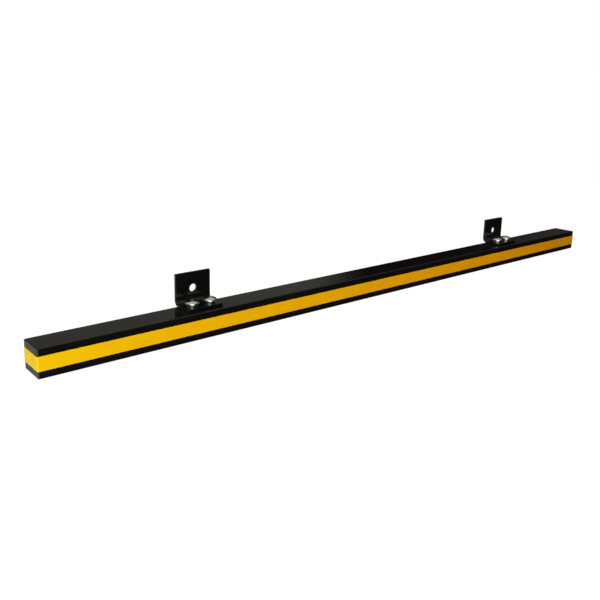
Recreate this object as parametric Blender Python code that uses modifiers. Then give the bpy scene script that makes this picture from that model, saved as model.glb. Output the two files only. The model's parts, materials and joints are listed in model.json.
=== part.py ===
"""Parking wheel stop: a hollow bar with a yellow band and two bolted wall brackets.

Units are metres. The origin is the middle of the bar's underside, +X runs along the
bar, the banded front faces -Y and +Z is up.
"""

import math

import bmesh
import bpy
from mathutils import Matrix, Vector

ASSEMBLY = "wheel_stop"

# Touching pieces keep this much air between them.
GAP = 0.0003

# Bar, measured over its end caps.
BAR_LENGTH = 1.820
BAR_DEPTH = 0.067
BAR_HEIGHT = 0.059
BAR_WALL = 0.003
BAR_CORNER = 0.0025
CORNER_STEPS = 4

# End caps: a flange that closes the bar and a hollow skirt pressed into it.
CAP_FLANGE = 0.003
CAP_SKIRT_LENGTH = 0.022
CAP_SKIRT_WALL = 0.0025
CAP_SKIRT_CORNER = 0.0008
CAP_EDGE = 0.002

# Yellow band: one strip over the front, round both corners and over both ends.
BAND_WIDTH = 0.0285
BAND_THICKNESS = 0.0005
BAND_MIDDLE = BAR_HEIGHT / 2

# Brackets: bent plate, foot on the bar, leg standing behind it.
BRACKET_SPACING = 1.090
BRACKET_WIDTH = 0.086
BRACKET_PLATE = 0.006
BRACKET_LEG = 0.071
BRACKET_OVERHANG = 0.006
BRACKET_FOOT_SETBACK = 0.015
BEND_OUTER = 0.014
BEND_STEPS = 10
BRACKET_CORNER = 0.002
BRACKET_EDGE = 0.0006
FIXING_HOLE = 0.0175
FIXING_HEIGHT = 0.035
BOLT_CLEARANCE_HOLE = 0.0135

# Bolts, M12, two to a bracket, each in a threaded insert in the bar's top wall.
BOLT_SPACING = 0.044
BOLT_SETBACK = 0.036
BOLT_DIAMETER = 0.012
BOLT_LENGTH = 0.030
BOLT_TIP = 0.001
HEAD_DIAMETER = 0.031
HEAD_HEIGHT = 0.0070
HEAD_RIM = 0.0008
HEAD_EDGE = 0.0003
HEAD_STEPS = 8
SOCKET_FLATS = 0.008
SOCKET_DEPTH = 0.0040
HEAD_TURNS = [math.radians(angle) for angle in (58, 53, 31, 38)]
FLAT_WASHER_DIAMETER = 0.024
FLAT_WASHER_HEIGHT = 0.0025
SPRING_WASHER_DIAMETER = 0.0210
SPRING_WASHER_HEIGHT = 0.0025
SPRING_WASHER_SPLIT = 0.0016
SPRING_WASHER_LEAN = math.radians(25)
WASHER_BORE = 0.0130
INSERT_BARREL = 0.0155
INSERT_BULGE = 0.0190
INSERT_BULGE_HEIGHT = 0.0035
INSERT_LENGTH = 0.020
INSERT_BORE = BOLT_DIAMETER + 2 * GAP
TURN_STEPS = 40

# Heights and places worked out from the sizes above.
BAR_TOP = BAR_HEIGHT
BAR_FRONT = -BAR_DEPTH / 2
BAR_BACK = BAR_DEPTH / 2
FOOT_UNDERSIDE = BAR_TOP + GAP
FOOT_TOP = FOOT_UNDERSIDE + BRACKET_PLATE
FLAT_WASHER_BASE = FOOT_TOP + GAP
SPRING_WASHER_BASE = FLAT_WASHER_BASE + FLAT_WASHER_HEIGHT + GAP
HEAD_BASE = SPRING_WASHER_BASE + SPRING_WASHER_HEIGHT + GAP
LEG_BACK = BAR_BACK + BRACKET_OVERHANG
LEG_TOP = BAR_TOP + BRACKET_LEG
FOOT_FRONT = BAR_FRONT + BRACKET_FOOT_SETBACK
BOLT_Y = BAR_FRONT + BOLT_SETBACK
SIDES = {"left": -1, "right": 1}

BLACK_PAINT = ("black_paint", (0.010, 0.010, 0.011), 0.16, 0.0)
BLACK_PLASTIC = ("black_plastic", (0.012, 0.012, 0.013), 0.22, 0.0)
YELLOW_TAPE = ("yellow_tape", (0.90, 0.50, 0.012), 0.32, 0.0)
ZINC = ("zinc_plate", (0.66, 0.67, 0.68), 0.28, 1.0)


def clear_scene():
    for item in list(bpy.data.objects):
        bpy.data.objects.remove(item, do_unlink=True)


def new_collection(name):
    collection = bpy.data.collections.new(name)
    bpy.context.scene.collection.children.link(collection)
    return collection


def add_object(name, mesh, collection):
    item = bpy.data.objects.new(name, mesh)
    collection.objects.link(item)
    return item


def give_material(item, finish):
    """Each node has its own material, named for the node and its finish."""
    finish_name, colour, roughness, metallic = finish
    material = bpy.data.materials.new(f"{item.name}_{finish_name}")
    material.use_nodes = True
    shader = material.node_tree.nodes["Principled BSDF"]
    shader.inputs["Base Color"].default_value = (*colour, 1.0)
    shader.inputs["Roughness"].default_value = roughness
    shader.inputs["Metallic"].default_value = metallic
    item.data.materials.clear()
    item.data.materials.append(material)


def shade(item, angle=35):
    item.data.shade_smooth()
    item.data.set_sharp_from_angle(angle=math.radians(angle))


def mesh_from_bmesh(name, shape):
    bmesh.ops.recalc_face_normals(shape, faces=shape.faces)
    mesh = bpy.data.meshes.new(name)
    shape.to_mesh(mesh)
    shape.free()
    return mesh


def baked_mesh(item, name):
    """The item's mesh with its modifiers applied; the item itself is removed."""
    graph = bpy.context.evaluated_depsgraph_get()
    mesh = bpy.data.meshes.new_from_object(item.evaluated_get(graph))
    mesh.name = name
    mesh.transform(item.matrix_world)
    bpy.data.objects.remove(item, do_unlink=True)
    return mesh


def rounded_rectangle(width, height, radius, steps=CORNER_STEPS):
    """Outline points of a rounded rectangle centred on zero, anticlockwise."""
    points = []
    for quarter in range(4):
        start = quarter * math.pi / 2
        side_x = 1 if quarter in (0, 3) else -1
        side_y = 1 if quarter in (0, 1) else -1
        centre = Vector((side_x * (width / 2 - radius), side_y * (height / 2 - radius)))
        for step in range(steps + 1):
            angle = start + step / steps * math.pi / 2
            points.append(centre + radius * Vector((math.cos(angle), math.sin(angle))))
    return points


def section_prism(outline, x_start, x_end, centre_z, capped=True):
    """A bar along X whose section in Y and Z is the outline."""
    shape = bmesh.new()
    loop = [shape.verts.new((x_start, y, centre_z + z)) for y, z in outline]
    edges = [shape.edges.new((a, b)) for a, b in zip(loop, loop[1:] + loop[:1])]
    made = bmesh.ops.extrude_edge_only(shape, edges=edges)
    moved = [part for part in made["geom"] if isinstance(part, bmesh.types.BMVert)]
    bmesh.ops.translate(shape, verts=moved, vec=(x_end - x_start, 0, 0))
    if capped:
        bmesh.ops.holes_fill(shape, edges=shape.edges, sides=0)
    return shape


def turned(name, profile, steps=TURN_STEPS):
    """A closed profile of (radius, z) turned about Z."""
    shape = bmesh.new()
    loop = [shape.verts.new((radius, 0, z)) for radius, z in profile]
    for a, b in zip(loop, loop[1:]):
        shape.edges.new((a, b))
    if profile[0][0] > 0:
        shape.edges.new((loop[-1], loop[0]))
    mesh = bpy.data.meshes.new(name)
    shape.to_mesh(mesh)
    shape.free()
    item = add_object(name, mesh, bpy.context.scene.collection)
    screw = item.modifiers.new("turn", "SCREW")
    screw.steps = steps
    screw.render_steps = steps
    screw.use_merge_vertices = True
    screw.merge_threshold = 0.00001
    return baked_mesh(item, name)


def cylinder_cutter(name, diameter, length, place, axis, collection):
    shape = bmesh.new()
    bmesh.ops.create_cone(shape, cap_ends=True, segments=TURN_STEPS,
                          radius1=diameter / 2, radius2=diameter / 2, depth=length)
    if axis == "Y":
        bmesh.ops.rotate(shape, verts=shape.verts, matrix=Matrix.Rotation(math.pi / 2, 3, "X"))
    cutter = add_object(name, mesh_from_bmesh(name, shape), collection)
    cutter.location = place
    hide_cutter(cutter)
    return cutter


def hide_cutter(cutter):
    cutter.hide_render = True
    cutter.display_type = "WIRE"


def boolean(item, operand, operation):
    step = item.modifiers.new(f"{operation.lower()}_{operand.name}", "BOOLEAN")
    step.operation = operation
    step.solver = "EXACT"
    step.object = operand


def soften(item, width, segments=2):
    bevel = item.modifiers.new("soft_edges", "BEVEL")
    bevel.width = width
    bevel.segments = segments
    bevel.limit_method = "ANGLE"
    bevel.angle_limit = math.radians(40)
    bevel.use_clamp_overlap = True


def bracket_centres():
    return {side: sign * BRACKET_SPACING / 2 for side, sign in SIDES.items()}


def bolt_places():
    """Node suffix and x of each bolt, left to right."""
    places = []
    for side, centre in bracket_centres().items():
        for letter, sign in (("a", -1), ("b", 1)):
            places.append((f"{side}_{letter}", centre + sign * BOLT_SPACING / 2))
    return places


def make_bar(parts, cutters):
    """Hollow bar, open at both ends, with a hole in its top wall for each insert."""
    half = BAR_LENGTH / 2 - CAP_FLANGE - GAP
    outline = rounded_rectangle(BAR_DEPTH, BAR_HEIGHT, BAR_CORNER)
    shape = section_prism(outline, -half, half, BAR_HEIGHT / 2, capped=False)
    bar = add_object("bar_tube", mesh_from_bmesh("bar_tube", shape), parts)
    wall = bar.modifiers.new("wall", "SOLIDIFY")
    wall.thickness = BAR_WALL
    wall.offset = -1
    wall.use_even_offset = True
    for suffix, x in bolt_places():
        place = (x, BOLT_Y, BAR_TOP - BAR_WALL / 2)
        cutter = cylinder_cutter(f"insert_hole_{suffix}", INSERT_BARREL + 2 * GAP,
                                 4 * BAR_WALL, place, "Z", cutters)
        boolean(bar, cutter, "DIFFERENCE")
    shade(bar)
    give_material(bar, BLACK_PAINT)


def round_rim(shape, outer):
    """Rounds the edges of the flange's outer face, which lies at x = outer."""
    rim = [edge for edge in shape.edges
           if all(abs(vert.co.x - outer) < 1e-6 for vert in edge.verts)]
    bmesh.ops.bevel(shape, geom=rim, offset=CAP_EDGE, offset_type="OFFSET",
                    segments=CORNER_STEPS, profile=0.5, affect="EDGES")


def make_end_cap(side, sign, parts, cutters):
    """Flange flush with the bar's outside, and a skirt hollowed from its inner end."""
    outer = BAR_LENGTH / 2
    seat = outer - CAP_FLANGE
    skirt_end = seat - CAP_SKIRT_LENGTH
    skirt_width = BAR_DEPTH - 2 * BAR_WALL - 2 * GAP
    skirt_height = BAR_HEIGHT - 2 * BAR_WALL - 2 * GAP
    inside = CAP_SKIRT_WALL

    flange_outline = rounded_rectangle(BAR_DEPTH, BAR_HEIGHT, BAR_CORNER)
    flange = section_prism(flange_outline, sign * seat, sign * outer, BAR_HEIGHT / 2)
    round_rim(flange, sign * outer)
    cap = add_object(f"end_cap_{side}", mesh_from_bmesh(f"end_cap_{side}", flange), parts)

    skirt_outline = rounded_rectangle(skirt_width, skirt_height, CAP_SKIRT_CORNER)
    skirt = section_prism(skirt_outline, sign * skirt_end, sign * (seat + CAP_FLANGE / 2),
                          BAR_HEIGHT / 2)
    skirt_solid = add_object(f"skirt_{side}", mesh_from_bmesh(f"skirt_{side}", skirt), cutters)
    hide_cutter(skirt_solid)
    boolean(cap, skirt_solid, "UNION")

    hollow_outline = rounded_rectangle(skirt_width - 2 * inside, skirt_height - 2 * inside,
                                       CAP_SKIRT_CORNER)
    hollow = section_prism(hollow_outline, sign * (skirt_end - CAP_FLANGE), sign * seat,
                           BAR_HEIGHT / 2)
    hollow_solid = add_object(f"hollow_{side}", mesh_from_bmesh(f"hollow_{side}", hollow),
                              cutters)
    hide_cutter(hollow_solid)
    boolean(cap, hollow_solid, "DIFFERENCE")
    shade(cap)
    give_material(cap, BLACK_PLASTIC)


def band_path():
    """Inner face of the band in plan: up one end, across the front, down the other."""
    half = BAR_LENGTH / 2 + GAP
    front = BAR_FRONT - GAP
    back = BAR_BACK - BAR_CORNER
    radius = CAP_EDGE + GAP
    points = [Vector((-half, back))]
    for sign in (-1, 1):
        centre = Vector((sign * (half - radius), front + radius))
        for step in range(CORNER_STEPS + 1):
            turn = step / CORNER_STEPS
            angle = math.radians(180 + 90 * turn) if sign < 0 else math.radians(270 + 90 * turn)
            points.append(centre + radius * Vector((math.cos(angle), math.sin(angle))))
    points.append(Vector((half, back)))
    return points


def make_band(parts):
    shape = bmesh.new()
    bottom = BAND_MIDDLE - BAND_WIDTH / 2
    line = [shape.verts.new((x, y, bottom)) for x, y in band_path()]
    edges = [shape.edges.new((a, b)) for a, b in zip(line, line[1:])]
    made = bmesh.ops.extrude_edge_only(shape, edges=edges)
    moved = [part for part in made["geom"] if isinstance(part, bmesh.types.BMVert)]
    bmesh.ops.translate(shape, verts=moved, vec=(0, 0, BAND_WIDTH))
    bmesh.ops.recalc_face_normals(shape, faces=shape.faces)
    shape.faces.ensure_lookup_table()
    front_face = min(shape.faces, key=lambda face: face.calc_center_median().y)
    if front_face.normal.y > 0:
        bmesh.ops.reverse_faces(shape, faces=shape.faces)
    mesh = bpy.data.meshes.new("reflective_band")
    shape.to_mesh(mesh)
    shape.free()
    band = add_object("reflective_band", mesh, parts)
    layer = band.modifiers.new("film", "SOLIDIFY")
    layer.thickness = BAND_THICKNESS
    layer.offset = 1
    layer.use_even_offset = True
    shade(band)
    give_material(band, YELLOW_TAPE)


def bracket_profile():
    """Outline of the bent plate in Y and Z: outer side first, then the inner side."""
    inner = BEND_OUTER - BRACKET_PLATE
    bend_y = LEG_BACK - BEND_OUTER
    bend_z = FOOT_UNDERSIDE + BEND_OUTER
    angles = [-math.pi / 2 * step / BEND_STEPS for step in range(BEND_STEPS + 1)]
    outside = [(LEG_BACK, LEG_TOP)]
    outside += [(bend_y + BEND_OUTER * math.cos(a), bend_z + BEND_OUTER * math.sin(a))
                for a in angles]
    outside.append((FOOT_FRONT, FOOT_UNDERSIDE))
    inside = [(FOOT_FRONT, FOOT_TOP)]
    inside += [(bend_y + inner * math.cos(a), bend_z + inner * math.sin(a))
               for a in reversed(angles)]
    inside.append((LEG_BACK - BRACKET_PLATE, LEG_TOP))
    return outside + inside


def round_plate_corners(shape, half_width):
    """Rounds the four free corners of the plate, seen square on to it."""
    corners = []
    for edge in shape.edges:
        a, b = (vert.co for vert in edge.verts)
        on_side = abs(abs(a.x) - half_width) < 1e-6 and abs(a.x - b.x) < 1e-6
        at_top = abs(a.z - LEG_TOP) < 1e-6 and abs(b.z - LEG_TOP) < 1e-6
        at_front = abs(a.y - FOOT_FRONT) < 1e-6 and abs(b.y - FOOT_FRONT) < 1e-6
        if on_side and (at_top or at_front):
            corners.append(edge)
    bmesh.ops.bevel(shape, geom=corners, offset=BRACKET_CORNER, offset_type="OFFSET",
                    segments=4, profile=0.5, affect="EDGES")


def make_bracket(side, centre, parts, cutters):
    half_width = BRACKET_WIDTH / 2
    shape = section_prism(bracket_profile(), -half_width, half_width, 0)
    round_plate_corners(shape, half_width)
    name = f"bracket_{side}"
    bracket = add_object(name, mesh_from_bmesh(name, shape), parts)
    bracket.location.x = centre

    fixing = (centre, LEG_BACK - BRACKET_PLATE / 2, BAR_TOP + FIXING_HEIGHT)
    boolean(bracket, cylinder_cutter(f"fixing_hole_{side}", FIXING_HOLE, 4 * BRACKET_PLATE,
                                     fixing, "Y", cutters), "DIFFERENCE")
    for letter, sign in (("a", -1), ("b", 1)):
        place = (centre + sign * BOLT_SPACING / 2, BOLT_Y, FOOT_TOP - BRACKET_PLATE / 2)
        boolean(bracket, cylinder_cutter(f"bolt_hole_{side}_{letter}", BOLT_CLEARANCE_HOLE,
                                         4 * BRACKET_PLATE, place, "Z", cutters), "DIFFERENCE")
    soften(bracket, BRACKET_EDGE)
    shade(bracket)
    give_material(bracket, BLACK_PAINT)


def flat_washer_mesh():
    outer = FLAT_WASHER_DIAMETER / 2
    inner = WASHER_BORE / 2
    top = FLAT_WASHER_BASE + FLAT_WASHER_HEIGHT
    edge = FLAT_WASHER_HEIGHT / 6
    profile = [(inner, top), (outer - edge, top), (outer, top - edge),
               (outer, FLAT_WASHER_BASE + edge), (outer - edge, FLAT_WASHER_BASE),
               (inner, FLAT_WASHER_BASE)]
    return turned("flat_washer", profile)


def spring_washer_mesh(cutters):
    """A ring with one slanted split."""
    outer = SPRING_WASHER_DIAMETER / 2
    inner = WASHER_BORE / 2
    top = SPRING_WASHER_BASE + SPRING_WASHER_HEIGHT
    edge = SPRING_WASHER_HEIGHT / 8
    profile = [(inner, top), (outer - edge, top), (outer, top - edge),
               (outer, SPRING_WASHER_BASE + edge), (outer - edge, SPRING_WASHER_BASE),
               (inner, SPRING_WASHER_BASE)]
    ring = add_object("spring_ring", turned("spring_ring", profile), cutters)

    slot = bmesh.new()
    bmesh.ops.create_cube(slot, size=1)
    size = Matrix.Diagonal((SPRING_WASHER_SPLIT, outer, 4 * SPRING_WASHER_HEIGHT))
    lean = Matrix.Rotation(SPRING_WASHER_LEAN, 3, "Y")
    bmesh.ops.transform(slot, matrix=(lean @ size).to_4x4(), verts=slot.verts)
    middle = Vector((0, -outer, SPRING_WASHER_BASE + SPRING_WASHER_HEIGHT / 2))
    bmesh.ops.translate(slot, verts=slot.verts, vec=middle)
    cutter = add_object("washer_split", mesh_from_bmesh("washer_split", slot), cutters)
    hide_cutter(cutter)
    boolean(ring, cutter, "DIFFERENCE")
    mesh = baked_mesh(ring, "spring_washer")
    bpy.data.objects.remove(cutter, do_unlink=True)
    return mesh


def bolt_mesh(cutters):
    """Low domed head with a hexagon socket, on a plain shank with a pointed tip."""
    rim = HEAD_DIAMETER / 2
    crown = HEAD_HEIGHT - HEAD_RIM
    top = HEAD_BASE + HEAD_HEIGHT
    radius = BOLT_DIAMETER / 2
    tip = HEAD_BASE - BOLT_LENGTH
    profile = [(0, top)]
    for step in range(1, HEAD_STEPS + 1):
        angle = math.pi / 2 * step / HEAD_STEPS
        profile.append((rim * math.sin(angle), top - crown + crown * math.cos(angle)))
    profile += [(rim, HEAD_BASE + HEAD_EDGE), (rim - HEAD_EDGE, HEAD_BASE),
                (radius, HEAD_BASE), (radius, tip + BOLT_TIP), (radius - BOLT_TIP, tip),
                (0, tip)]
    bolt = add_object("bolt", turned("bolt", profile), cutters)

    socket = bmesh.new()
    corner = SOCKET_FLATS / math.sqrt(3)
    bmesh.ops.create_cone(socket, cap_ends=True, segments=6, radius1=corner, radius2=corner,
                          depth=2 * SOCKET_DEPTH)
    bmesh.ops.translate(socket, verts=socket.verts, vec=(0, 0, top))
    cutter = add_object("socket", mesh_from_bmesh("socket", socket), cutters)
    hide_cutter(cutter)
    boolean(bolt, cutter, "DIFFERENCE")
    mesh = baked_mesh(bolt, "bolt")
    bpy.data.objects.remove(cutter, do_unlink=True)
    return mesh


def insert_mesh():
    """Threaded insert: barrel through the wall, bulge under it, open bore."""
    barrel = INSERT_BARREL / 2
    bulge = INSERT_BULGE / 2
    bore = INSERT_BORE / 2
    top = BAR_TOP
    under_wall = BAR_TOP - BAR_WALL - GAP
    bulge_end = under_wall - INSERT_BULGE_HEIGHT
    end = BAR_TOP - INSERT_LENGTH
    profile = [(bore, top), (barrel, top), (barrel, under_wall), (bulge, under_wall),
               (bulge, bulge_end + (bulge - barrel)), (barrel, bulge_end), (barrel, end),
               (bore, end)]
    return turned("insert", profile)


def make_fasteners(parts, cutters):
    """One stack at each bolt; each stack is turned a little differently, as by hand."""
    kinds = {"round_head_bolt": bolt_mesh(cutters), "flat_washer": flat_washer_mesh(),
             "spring_washer": spring_washer_mesh(cutters), "threaded_insert": insert_mesh()}
    for (suffix, x), turn in zip(bolt_places(), HEAD_TURNS):
        for kind, mesh in kinds.items():
            piece = add_object(f"{kind}_{suffix}", mesh.copy(), parts)
            piece.location = (x, BOLT_Y, 0)
            piece.rotation_euler.z = turn
            shade(piece)
            give_material(piece, ZINC)
    for mesh in kinds.values():
        bpy.data.meshes.remove(mesh)


def main():
    clear_scene()
    parts = new_collection(ASSEMBLY)
    cutters = new_collection("cutters")
    make_bar(parts, cutters)
    for side, sign in SIDES.items():
        make_end_cap(side, sign, parts, cutters)
    make_band(parts)
    for side, centre in bracket_centres().items():
        make_bracket(side, centre, parts, cutters)
    make_fasteners(parts, cutters)


main()
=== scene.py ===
"""Looks of the parking wheel stop: materials, small surface detail, stage, light and camera."""

import json
import math

import bpy
from mathutils import Matrix, Vector


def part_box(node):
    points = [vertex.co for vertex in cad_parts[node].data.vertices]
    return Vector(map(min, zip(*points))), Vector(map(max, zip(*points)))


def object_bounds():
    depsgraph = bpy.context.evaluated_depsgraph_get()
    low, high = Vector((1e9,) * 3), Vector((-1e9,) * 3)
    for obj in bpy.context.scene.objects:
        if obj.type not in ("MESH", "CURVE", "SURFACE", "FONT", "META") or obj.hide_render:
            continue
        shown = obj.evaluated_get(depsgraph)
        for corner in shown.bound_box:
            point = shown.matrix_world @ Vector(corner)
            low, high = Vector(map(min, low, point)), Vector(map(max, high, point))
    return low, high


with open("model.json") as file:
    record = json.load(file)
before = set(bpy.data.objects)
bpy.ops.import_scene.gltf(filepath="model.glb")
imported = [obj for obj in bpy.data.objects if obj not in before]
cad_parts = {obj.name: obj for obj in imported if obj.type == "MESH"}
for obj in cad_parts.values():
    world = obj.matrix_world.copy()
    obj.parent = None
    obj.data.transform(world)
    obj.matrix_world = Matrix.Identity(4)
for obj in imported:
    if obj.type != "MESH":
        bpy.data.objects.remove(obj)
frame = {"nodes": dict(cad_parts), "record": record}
cad_low, cad_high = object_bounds()

NODES = frame["nodes"]

# Camera, in metres and degrees, in the part's frame.
CAMERA_PLACE = Vector((-1.3176, -1.2398, 0.5329))
CAMERA_YAW = 40.089
CAMERA_PITCH = -12.564
CAMERA_ROLL = 1.239
CAMERA_LENS = 42.457
CAMERA_SENSOR = 36.0
CAMERA_SHIFT = -0.1

# Stage.
FLOOR_SIZE = 60.0
FLOOR_DROP = 0.0005
FLOOR_GLOW = 1.0
FLOOR_COLOUR = (0.06, 0.06, 0.06, 1.0)
BACKDROP_WHITE = (1.0, 1.0, 1.0, 1.0)

# Room that the gloss reflects, in brightness. Its wall is brighter at both sides of a dark
# middle; the bearings, in degrees from +Y towards +X, say where it changes.
WALL_LEFT = 0.155
WALL_MIDDLE = 0.006
WALL_RIGHT = 0.050
WALL_LEFT_ENDS = (40.5, 46.0)
WALL_RIGHT_STARTS = (53.0, 60.0)

# Ceiling, the lower half in front and behind, and one window behind the camera. Each pair
# holds the direction's height, depth or closeness over which that light comes in.
ROOM_CEILING = 0.45
CEILING_HEIGHT = (0.45, 0.75)
ROOM_FRONT = 0.02
ROOM_BACK = 0.40
FRONT_TO_BACK = (-0.2, 0.5)
HORIZON = (-0.02, 0.02)
WINDOW_LIGHT = 1.8
WINDOW_BEARING = (-0.53, -0.80, -0.28)
WINDOW_EDGE = (0.62, 0.90)
ROOM_TINT = (1.0, 0.97, 0.88, 1.0)
AMBIENT = (0.024, 0.018, 0.018, 1.0)

# Finishes that hold over a whole surface, as the record's slots name them.
PAINT_DARK = (0.0028, 0.0031, 0.0029, 1.0)
PAINT_LIGHT = (0.0048, 0.0051, 0.0046, 1.0)
SPECK_DUST = (0.022, 0.023, 0.021, 1.0)
PLATE_DARK = (0.0015, 0.0026, 0.0024, 1.0)
PLATE_LIGHT = (0.0030, 0.0042, 0.0038, 1.0)
PLASTIC_DARK = (0.0040, 0.0042, 0.0042, 1.0)
PLASTIC_LIGHT = (0.0090, 0.0092, 0.0086, 1.0)
TAPE_YELLOW = (0.93, 0.68, 0.002, 1.0)
TAPE_AMBER = (0.90, 0.62, 0.002, 1.0)
ZINC_BRIGHT = (0.80, 0.81, 0.80, 1.0)
ZINC_DULL = (0.60, 0.61, 0.58, 1.0)

# Edges sharper than this stay crisp under the smooth shading.
SHARP_ANGLE = math.radians(28)

# Light panels: name, place, the x of the point on the bar they face, watts and colour. A
# nearly white key stands at the left, and warmer, weaker panels stand towards the right.
PANEL_SIZE = (1.0, 0.8)
PANELS = (
    ("key_left", (-2.1, -1.3, 1.2), -0.8, 58.0, (1.0, 1.02, 0.85)),
    ("key_middle", (0.0, -1.6, 1.2), 0.0, 19.0, (1.0, 0.24, 0.14)),
    ("side_left", (-2.4, 0.3, 0.7), -0.9, 9.7, (1.0, 0.74, 0.50)),
    ("side_right", (2.4, 0.6, 0.7), 0.9, 9.0, (1.0, 0.62, 0.35)),
)


class Graph:
    """A node tree with short calls for the nodes that the materials share."""

    def __init__(self, tree):
        self.tree = tree

    def add(self, kind, **settings):
        node = self.tree.nodes.new(kind)
        for name, value in settings.items():
            setattr(node, name, value)
        return node

    def link(self, source, target):
        self.tree.links.new(source, target)

    def feed(self, node, socket, value):
        """Links an output, or sets a plain value, on one input."""
        target = node.inputs[socket]
        if isinstance(value, bpy.types.NodeSocket):
            self.link(value, target)
        else:
            target.default_value = value

    def position(self):
        """Place on the object, in metres in the part's frame."""
        return self.add("ShaderNodeTexCoord").outputs["Object"]

    def stretched(self, vector, scale):
        node = self.add("ShaderNodeMapping")
        self.feed(node, "Vector", vector)
        node.inputs["Scale"].default_value = scale
        return node.outputs["Vector"]

    def noise(self, vector, scale, detail=3.0):
        node = self.add("ShaderNodeTexNoise")
        self.feed(node, "Vector", vector)
        node.inputs["Scale"].default_value = scale
        node.inputs["Detail"].default_value = detail
        return node.outputs["Fac"]

    def cells(self, vector, scale):
        node = self.add("ShaderNodeTexVoronoi")
        self.feed(node, "Vector", vector)
        node.inputs["Scale"].default_value = scale
        return node.outputs["Distance"]

    def remap(self, value, low, high, to_low=0.0, to_high=1.0, smooth=False):
        node = self.add("ShaderNodeMapRange")
        if smooth:
            node.interpolation_type = "SMOOTHSTEP"
        self.feed(node, "Value", value)
        node.inputs["From Min"].default_value = low
        node.inputs["From Max"].default_value = high
        node.inputs["To Min"].default_value = to_low
        node.inputs["To Max"].default_value = to_high
        return node.outputs["Result"]

    def maths(self, operation, first, second=0.0):
        node = self.add("ShaderNodeMath", operation=operation)
        self.feed(node, 0, first)
        self.feed(node, 1, second)
        return node.outputs["Value"]

    def mix(self, factor, first, second, blend="MIX"):
        node = self.add("ShaderNodeMix", data_type="RGBA", blend_type=blend)
        self.feed(node, 0, factor)
        self.feed(node, 6, first)
        self.feed(node, 7, second)
        return node.outputs[2]

    def bump(self, height, strength, distance, under=None):
        node = self.add("ShaderNodeBump")
        node.inputs["Strength"].default_value = strength
        node.inputs["Distance"].default_value = distance
        self.feed(node, "Height", height)
        if under is not None:
            self.feed(node, "Normal", under)
        return node.outputs["Normal"]


def new_material(name):
    material = bpy.data.materials.new(name)
    material.use_nodes = True
    graph = Graph(material.node_tree)
    shader = material.node_tree.nodes["Principled BSDF"]
    return material, graph, shader


def black_coat(name, dark, light, roughness, peel_size, peel_strength):
    """Glossy black: faint mottling, handling smears, dust and an orange-peel skin."""
    material, graph, shader = new_material(name)
    place = graph.position()
    mottle = graph.noise(place, 9.0, detail=4.0)
    dust = graph.remap(graph.cells(place, 160.0), 0.05, 0.02, smooth=True)
    dust_here = graph.remap(graph.noise(place, 14.0), 0.58, 0.78)
    specks = graph.maths("MULTIPLY", dust, dust_here)
    coat = graph.mix(graph.remap(mottle, 0.3, 0.7), dark, light)
    graph.feed(shader, "Base Color", graph.mix(specks, coat, SPECK_DUST))

    smear = graph.noise(graph.stretched(place, (0.35, 1.0, 1.0)), 26.0, detail=6.0)
    low, high = roughness
    rough = graph.remap(smear, 0.35, 0.75, low, high)
    graph.feed(shader, "Roughness", graph.maths("MAXIMUM", rough,
                                                graph.maths("MULTIPLY", specks, 0.6)))
    peel = graph.noise(place, 1.0 / peel_size, detail=2.0)
    waves = graph.bump(graph.noise(place, 55.0, detail=1.0), 0.04, 0.0005)
    graph.feed(shader, "Normal", graph.bump(peel, peel_strength, 0.00008, under=waves))
    return material


def reflective_film(name):
    """Yellow retroreflective film: fine beads under a clear face, with a slow amber drift."""
    material, graph, shader = new_material(name)
    place = graph.position()
    drift = graph.noise(graph.stretched(place, (1.0, 1.0, 2.5)), 24.0, detail=3.0)
    tone = graph.mix(graph.remap(drift, 0.35, 0.68), TAPE_YELLOW, TAPE_AMBER)
    beads = graph.cells(place, 1400.0)
    grain = graph.remap(beads, 0.1, 0.7, 1.0, 0.90)
    graph.feed(shader, "Base Color", graph.mix(1.0, tone, grain, "MULTIPLY"))
    scuff = graph.noise(graph.stretched(place, (0.2, 1.0, 3.0)), 60.0, detail=5.0)
    graph.feed(shader, "Roughness", graph.remap(scuff, 0.35, 0.75, 0.30, 0.46))
    graph.feed(shader, "Normal", graph.bump(beads, 0.10, 0.00005))
    shader.inputs["Specular IOR Level"].default_value = 0.25
    shader.inputs["Coat Weight"].default_value = 0.10
    shader.inputs["Coat Roughness"].default_value = 0.12
    return material


def zinc(name, centre):
    """Bright zinc plate, with fine turned marks round the piece's own axis."""
    material, graph, shader = new_material(name)
    place = graph.position()
    bloom = graph.noise(place, 210.0, detail=4.0)
    graph.feed(shader, "Base Color", graph.mix(graph.remap(bloom, 0.35, 0.7),
                                               ZINC_BRIGHT, ZINC_DULL))
    shader.inputs["Metallic"].default_value = 1.0
    rub = graph.noise(place, 420.0, detail=5.0)
    graph.feed(shader, "Roughness", graph.remap(rub, 0.3, 0.75, 0.10, 0.22))
    pits = graph.noise(place, 1600.0, detail=2.0)
    normal = graph.bump(pits, 0.05, 0.00005)
    offset = graph.add("ShaderNodeVectorMath", operation="SUBTRACT")
    graph.feed(offset, 0, place)
    offset.inputs[1].default_value = centre
    flat = graph.stretched(offset.outputs["Vector"], (1.0, 1.0, 0.0))
    length = graph.add("ShaderNodeVectorMath", operation="LENGTH")
    graph.feed(length, 0, flat)
    rings = graph.maths("SINE", graph.maths("MULTIPLY", length.outputs["Value"], 14000.0))
    graph.feed(shader, "Normal", graph.bump(rings, 0.03, 0.00003, under=normal))
    return material


def middle(node):
    low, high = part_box(node)
    return (low + high) / 2


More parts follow.
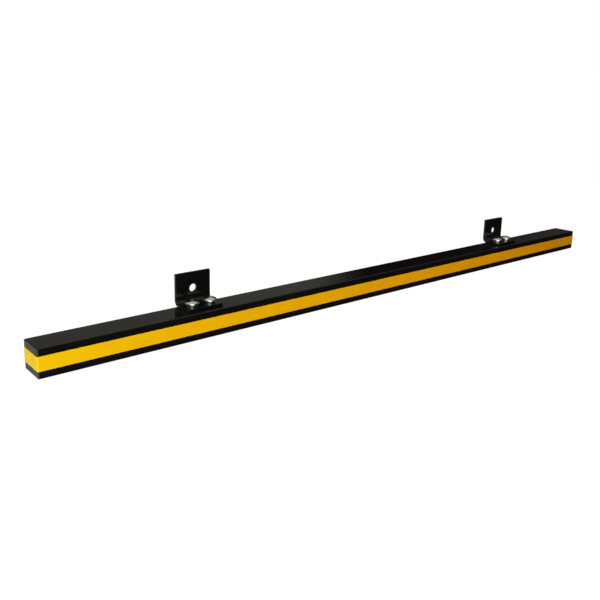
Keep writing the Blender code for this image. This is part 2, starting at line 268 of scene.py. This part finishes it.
def finish_nodes():
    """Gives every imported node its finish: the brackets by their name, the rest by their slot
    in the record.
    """
    paint = black_coat("gloss_black_paint", PAINT_DARK, PAINT_LIGHT, (0.045, 0.10),
                       0.0018, 0.10)
    plate = black_coat("bracket_black_paint", PLATE_DARK, PLATE_LIGHT, (0.10, 0.20),
                       0.0014, 0.22)
    plastic = black_coat("gloss_black_plastic", PLASTIC_DARK, PLASTIC_LIGHT, (0.10, 0.24),
                         0.0024, 0.30)
    film = reflective_film("yellow_reflective_film")
    slots = {row["node"]: row["material_slot"] for row in frame["record"]["subparts"]}
    for name, node in NODES.items():
        if name.startswith("bracket"):
            material = plate
        elif slots[name] == "black_paint":
            material = paint
        elif slots[name] == "black_plastic":
            material = plastic
        elif slots[name] == "yellow_tape":
            material = film
        else:
            material = zinc(f"zinc_{name}", middle(name))
        node.data.materials.clear()
        node.data.materials.append(material)
        node.data.shade_smooth()
        node.data.set_sharp_from_angle(angle=SHARP_ANGLE)


def make_floor():
    bpy.ops.mesh.primitive_plane_add(size=FLOOR_SIZE, location=(0, 0, cad_low.z - FLOOR_DROP))
    floor = bpy.context.object
    floor.name = "floor"
    material = bpy.data.materials.new("pale_floor")
    material.use_nodes = True
    graph = Graph(material.node_tree)
    material.node_tree.nodes.clear()
    output = graph.add("ShaderNodeOutputMaterial")
    both = graph.add("ShaderNodeAddShader")
    glow = graph.add("ShaderNodeEmission")
    glow.inputs["Strength"].default_value = FLOOR_GLOW
    matt = graph.add("ShaderNodeBsdfDiffuse")
    matt.inputs["Color"].default_value = FLOOR_COLOUR
    graph.link(glow.outputs[0], both.inputs[0])
    graph.link(matt.outputs[0], both.inputs[1])
    graph.link(both.outputs[0], output.inputs["Surface"])
    floor.data.materials.append(material)
    floor.visible_glossy = False
    floor.visible_diffuse = False


def make_surroundings():
    """White behind the object, and a dim studio room for what the gloss reflects."""
    world = bpy.data.worlds.new("studio")
    bpy.context.scene.world = world
    world.use_nodes = True
    graph = Graph(world.node_tree)
    world.node_tree.nodes.clear()
    output = graph.add("ShaderNodeOutputWorld")
    direction = graph.add("ShaderNodeTexCoord").outputs["Generated"]
    split = graph.add("ShaderNodeSeparateXYZ")
    graph.feed(split, 0, direction)
    x, y, z = (split.outputs[axis] for axis in "XYZ")
    bearing = graph.maths("ARCTAN2", x, y)

    start, end = (math.radians(a) for a in WALL_LEFT_ENDS)
    wall_left = graph.remap(bearing, start, end, WALL_LEFT, WALL_MIDDLE, smooth=True)
    start, end = (math.radians(a) for a in WALL_RIGHT_STARTS)
    wall_right = graph.remap(bearing, start, end, 0.0, WALL_RIGHT, smooth=True)
    wall = graph.maths("ADD", wall_left, wall_right)
    ceiling = graph.remap(z, *CEILING_HEIGHT, 0.0, ROOM_CEILING, smooth=True)
    above = graph.maths("ADD", wall, ceiling)
    below = graph.remap(y, *FRONT_TO_BACK, ROOM_FRONT, ROOM_BACK, smooth=True)
    level = graph.remap(z, *HORIZON, smooth=True)
    toward_window = graph.add("ShaderNodeVectorMath", operation="DOT_PRODUCT")
    graph.feed(toward_window, 0, direction)
    toward_window.inputs[1].default_value = WINDOW_BEARING
    window = graph.remap(toward_window.outputs["Value"], *WINDOW_EDGE, 0.0, WINDOW_LIGHT,
                         smooth=True)
    room = graph.maths("ADD", graph.mix(level, below, above), window)
    tinted = graph.mix(1.0, room, ROOM_TINT, "MULTIPLY")

    ray = graph.add("ShaderNodeLightPath")
    softened = graph.mix(ray.outputs["Is Diffuse Ray"], tinted, AMBIENT)
    shown = graph.mix(ray.outputs["Is Camera Ray"], softened, BACKDROP_WHITE)
    background = graph.add("ShaderNodeBackground")
    graph.feed(background, "Color", shown)
    graph.link(background.outputs[0], output.inputs["Surface"])


def make_lights():
    """Soft panels, which light the matt side of each finish and don't show in the gloss."""
    for name, place, facing, watts, colour in PANELS:
        light = bpy.data.lights.new(name, "AREA")
        light.shape = "RECTANGLE"
        light.size, light.size_y = PANEL_SIZE
        light.energy = watts
        light.color = colour
        panel = bpy.data.objects.new(name, light)
        panel.location = place
        aim = Vector((facing, 0, 0)) - Vector(place)
        panel.rotation_euler = aim.to_track_quat("-Z", "Y").to_euler()
        panel.visible_glossy = False
        bpy.context.scene.collection.objects.link(panel)


def make_camera():
    yaw, pitch, roll = (math.radians(a) for a in (CAMERA_YAW, CAMERA_PITCH, CAMERA_ROLL))
    ahead = Vector((math.sin(yaw) * math.cos(pitch), math.cos(yaw) * math.cos(pitch),
                    math.sin(pitch)))
    level = Vector((math.cos(yaw), -math.sin(yaw), 0))
    upward = level.cross(ahead)
    right = math.cos(roll) * level + math.sin(roll) * upward
    up = math.cos(roll) * upward - math.sin(roll) * level
    data = bpy.data.cameras.new("camera")
    data.lens = CAMERA_LENS
    data.sensor_width = CAMERA_SENSOR
    data.shift_y = CAMERA_SHIFT
    camera = bpy.data.objects.new("camera", data)
    turn = Matrix((right, up, -ahead)).transposed()
    camera.matrix_world = Matrix.Translation(CAMERA_PLACE) @ turn.to_4x4()
    bpy.context.scene.collection.objects.link(camera)
    bpy.context.scene.camera = camera


def set_colour_view():
    """Shows plain display colours, so that white stays white and the yellow stays full."""
    bpy.context.scene.view_settings.view_transform = "Standard"


make_camera()
set_colour_view()
make_surroundings()
make_floor()
make_lights()
finish_nodes()
